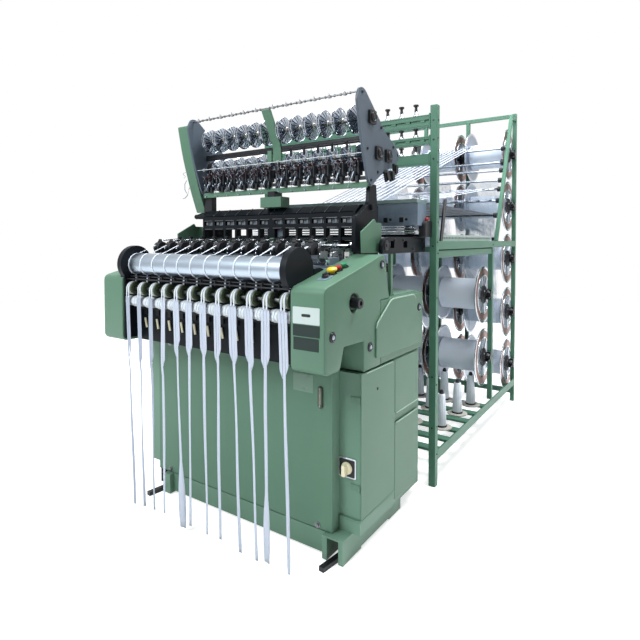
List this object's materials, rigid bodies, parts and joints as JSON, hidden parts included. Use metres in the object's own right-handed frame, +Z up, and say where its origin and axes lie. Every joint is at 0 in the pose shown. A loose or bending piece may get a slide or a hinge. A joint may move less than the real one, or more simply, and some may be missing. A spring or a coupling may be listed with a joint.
{
  "type": "narrow-fabric needle loom with warp creel",
  "caption": "Power loom for narrow fabrics: sage green machine body with a row of weaving heads, take-up roller, hanging tapes, yarn feeder and a creel of warp beams behind.",
  "frame": {"origin": "on the floor, under the middle of the whole installation", "axes": "+Z up, -Y the operator's side where the tapes hang, +X the operator's right"},
  "size_m": [1.31, 2.811, 2.22],
  "materials": {
    "sage_paint": "satin",
    "creel_paint": "satin",
    "grey_paint": "satin",
    "black_paint": "satin",
    "black_steel": "satin",
    "dark_steel": "satin",
    "bright_steel": "polished",
    "brushed_aluminium": "brushed",
    "black_plastic": "matte",
    "black_rubber": "matte",
    "cream_plastic": "gloss",
    "olive_plastic": "satin",
    "white_plastic": "satin",
    "green_plastic": "gloss",
    "red_plastic": "gloss",
    "yellow_plastic": "gloss",
    "white_tape": "woven",
    "white_yarn": "yarn"
  },
  "bodies": {
    "loom": {"plinth": "sage_paint", "levelling_feet": "black_steel", "body_casing": "sage_paint", "front_panel": "sage_paint", "oil_sight_glass": "black_plastic", "control_cabinet": "sage_paint", "main_switch_plate": "black_plastic", "right_upper_cover": "sage_paint", "right_lower_cover": "sage_paint", "right_arm": "sage_paint", "left_arm": "sage_paint", "cover_latches": "dark_steel", "breast_box": "black_paint", "roller_end_housings": "black_paint", "woven_tapes": "white_tape", "button_collars": "black_plastic", "weaving_beds": "black_paint", "harness_frame": "black_paint", "side_arms": "black_paint", "feeder_side_plates": "grey_paint", "feeder_frame": "creel_paint", "feeder_bearings": "black_plastic", "thread_guides": "bright_steel", "weft_detectors": "black_plastic", "warp_stop_box": "grey_paint", "stop_control_box": "black_plastic", "creel_posts": "creel_paint", "creel_rails": "creel_paint", "creel_slats": "creel_paint", "tension_knobs": "black_plastic", "warp_guide_rods": "bright_steel", "creel_brackets": "black_plastic", "yarn_cones": "white_yarn", "warp_yarns": "white_yarn"},
    "cabinet_door": {"cabinet_door": "sage_paint"},
    "main_switch": {"main_switch_knob": "cream_plastic"},
    "hand_shaft": {"hand_shaft": "black_steel"},
    "take_up_roller": {"take_up_roller": "bright_steel"},
    "press_roller": {"press_roller": "black_rubber"},
    "tape_pulleys": {"tape_pulleys": "olive_plastic"},
    "delivery_roller": {"delivery_roller": "white_plastic"},
    "start_button": {"start_button": "green_plastic"},
    "stop_button": {"stop_button": "red_plastic"},
    "jog_button": {"jog_button": "yellow_plastic"},
    "mode_switch": {"mode_switch": "black_plastic"},
    "knitting_needles": {"knitting_needles": "bright_steel"},
    "sley": {"sley_reeds": "bright_steel"},
    "weft_needles": {"weft_needles": "bright_steel"},
    "heald_front": {"heald_frames_front": "brushed_aluminium"},
    "heald_rear": {"heald_frames_rear": "brushed_aluminium"},
    "upper_feed": {"upper_feed_wheels": "bright_steel"},
    "lower_feed": {"lower_feed_wheels": "bright_steel"},
    "stop_control_button": {"stop_control_button": "red_plastic"},
    "front_beams_1": {"front_beams_1": "brushed_aluminium"},
    "front_beams_2": {"front_beams_2": "brushed_aluminium"},
    "rear_beams_1": {"rear_beams_1": "brushed_aluminium"},
    "rear_beams_2": {"rear_beams_2": "brushed_aluminium"},
    "rear_beams_3": {"rear_beams_3": "brushed_aluminium"},
    "rear_beams_4": {"rear_beams_4": "brushed_aluminium"},
    "rear_beams_5": {"rear_beams_5": "brushed_aluminium"}
  },
  "joints": [
    {"name": "door_hinge", "type": "hinge", "parent": "loom", "child": "cabinet_door", "pos_m": [0.625, -1.1315, 0.443], "axis": [0, 0, -1], "range_deg": [0, 110]},
    {"name": "main_switch_turn", "type": "hinge", "parent": "loom", "child": "main_switch", "pos_m": [0.564, -1.1475, 0.353], "axis": [0, -1, 0], "range_deg": [0, 90]},
    {"name": "hand_shaft_turn", "type": "hinge", "parent": "loom", "child": "hand_shaft", "pos_m": [-0.015, -1.1855, 1.014], "axis": [1, 0, 0], "continuous": true},
    {"name": "take_up_turn", "type": "hinge", "parent": "loom", "child": "take_up_roller", "pos_m": [-0.015, -1.3325, 1.139], "axis": [1, 0, 0], "continuous": true},
    {"name": "press_turn", "type": "hinge", "parent": "loom", "child": "press_roller", "pos_m": [-0.015, -1.247, 1.133], "axis": [1, 0, 0], "continuous": true},
    {"name": "pulley_turn", "type": "hinge", "parent": "loom", "child": "tape_pulleys", "pos_m": [-0.015, -1.3575, 1.027], "axis": [1, 0, 0], "continuous": true},
    {"name": "delivery_turn", "type": "hinge", "parent": "loom", "child": "delivery_roller", "pos_m": [-0.015, -1.3575, 0.967], "axis": [1, 0, 0], "continuous": true},
    {"name": "start_press", "type": "slide", "parent": "loom", "child": "start_button", "axis": [0, 0.2442, -0.9697], "range_m": [0, 0.0025], "stiffness_N_per_m": 6000},
    {"name": "stop_press", "type": "slide", "parent": "loom", "child": "stop_button", "axis": [0, 0.2442, -0.9697], "range_m": [0, 0.0025], "stiffness_N_per_m": 6000},
    {"name": "jog_press", "type": "slide", "parent": "loom", "child": "jog_button", "axis": [0, 0.2442, -0.9697], "range_m": [0, 0.0025], "stiffness_N_per_m": 6000},
    {"name": "mode_turn", "type": "hinge", "parent": "loom", "child": "mode_switch", "pos_m": [0.552, -1.2735, 1.11093], "axis": [0, -0.2442, 0.9697], "range_deg": [-45, 45]},
    {"name": "knitting_slide", "type": "slide", "parent": "loom", "child": "knitting_needles", "axis": [0, 1, 0], "range_m": [0, 0.008]},
    {"name": "sley_rock", "type": "hinge", "parent": "loom", "child": "sley", "pos_m": [-0.015, -1.0115, 1.07], "axis": [1, 0, 0], "range_deg": [-2, 2]},
    {"name": "needle_rock", "type": "hinge", "parent": "loom", "child": "weft_needles", "pos_m": [-0.015, -0.9415, 1.226], "axis": [1, 0, 0], "range_deg": [-4, 4]},
    {"name": "heald_front_slide", "type": "slide", "parent": "loom", "child": "heald_front", "axis": [0, 0, 1], "range_m": [-0.015, 0.015]},
    {"name": "heald_rear_slide", "type": "slide", "parent": "loom", "child": "heald_rear", "axis": [0, 0, 1], "range_m": [-0.015, 0.015]},
    {"name": "upper_feed_turn", "type": "hinge", "parent": "loom", "child": "upper_feed", "pos_m": [-0.015, -0.8595, 1.788], "axis": [1, 0, 0], "continuous": true},
    {"name": "lower_feed_turn", "type": "hinge", "parent": "loom", "child": "lower_feed", "pos_m": [-0.015, -0.7955, 1.64], "axis": [1, 0, 0], "continuous": true},
    {"name": "stop_control_press", "type": "slide", "parent": "loom", "child": "stop_control_button", "axis": [0, 0, -1], "range_m": [0, 0.003], "stiffness_N_per_m": 6000},
    {"name": "front_beams_1_turn", "type": "hinge", "parent": "loom", "child": "front_beams_1", "pos_m": [-0.015, 0.5775, 0.468], "axis": [1, 0, 0], "continuous": true},
    {"name": "front_beams_2_turn", "type": "hinge", "parent": "loom", "child": "front_beams_2", "pos_m": [-0.015, 0.5775, 0.888], "axis": [1, 0, 0], "continuous": true},
    {"name": "rear_beams_1_turn", "type": "hinge", "parent": "loom", "child": "rear_beams_1", "pos_m": [-0.015, 1.2025, 0.3], "axis": [1, 0, 0], "continuous": true},
    {"name": "rear_beams_2_turn", "type": "hinge", "parent": "loom", "child": "rear_beams_2", "pos_m": [-0.015, 1.2025, 0.7], "axis": [1, 0, 0], "continuous": true},
    {"name": "rear_beams_3_turn", "type": "hinge", "parent": "loom", "child": "rear_beams_3", "pos_m": [-0.015, 1.2025, 1.11], "axis": [1, 0, 0], "continuous": true},
    {"name": "rear_beams_4_turn", "type": "hinge", "parent": "loom", "child": "rear_beams_4", "pos_m": [-0.015, 1.2025, 1.51], "axis": [1, 0, 0], "continuous": true},
    {"name": "rear_beams_5_turn", "type": "hinge", "parent": "loom", "child": "rear_beams_5", "pos_m": [-0.015, 1.2025, 1.905], "axis": [1, 0, 0], "continuous": true}
  ],
  "couplings": [
    {"joint": "press_turn", "follows": "take_up_turn", "ratio": -1.4706},
    {"joint": "pulley_turn", "follows": "take_up_turn", "ratio": 1.6667},
    {"joint": "delivery_turn", "follows": "take_up_turn", "ratio": 1.9231},
    {"joint": "lower_feed_turn", "follows": "upper_feed_turn", "ratio": 1.1429},
    {"joint": "heald_rear_slide", "follows": "heald_front_slide", "ratio": -1},
    {"joint": "needle_rock", "follows": "sley_rock", "ratio": 2}
  ]
}
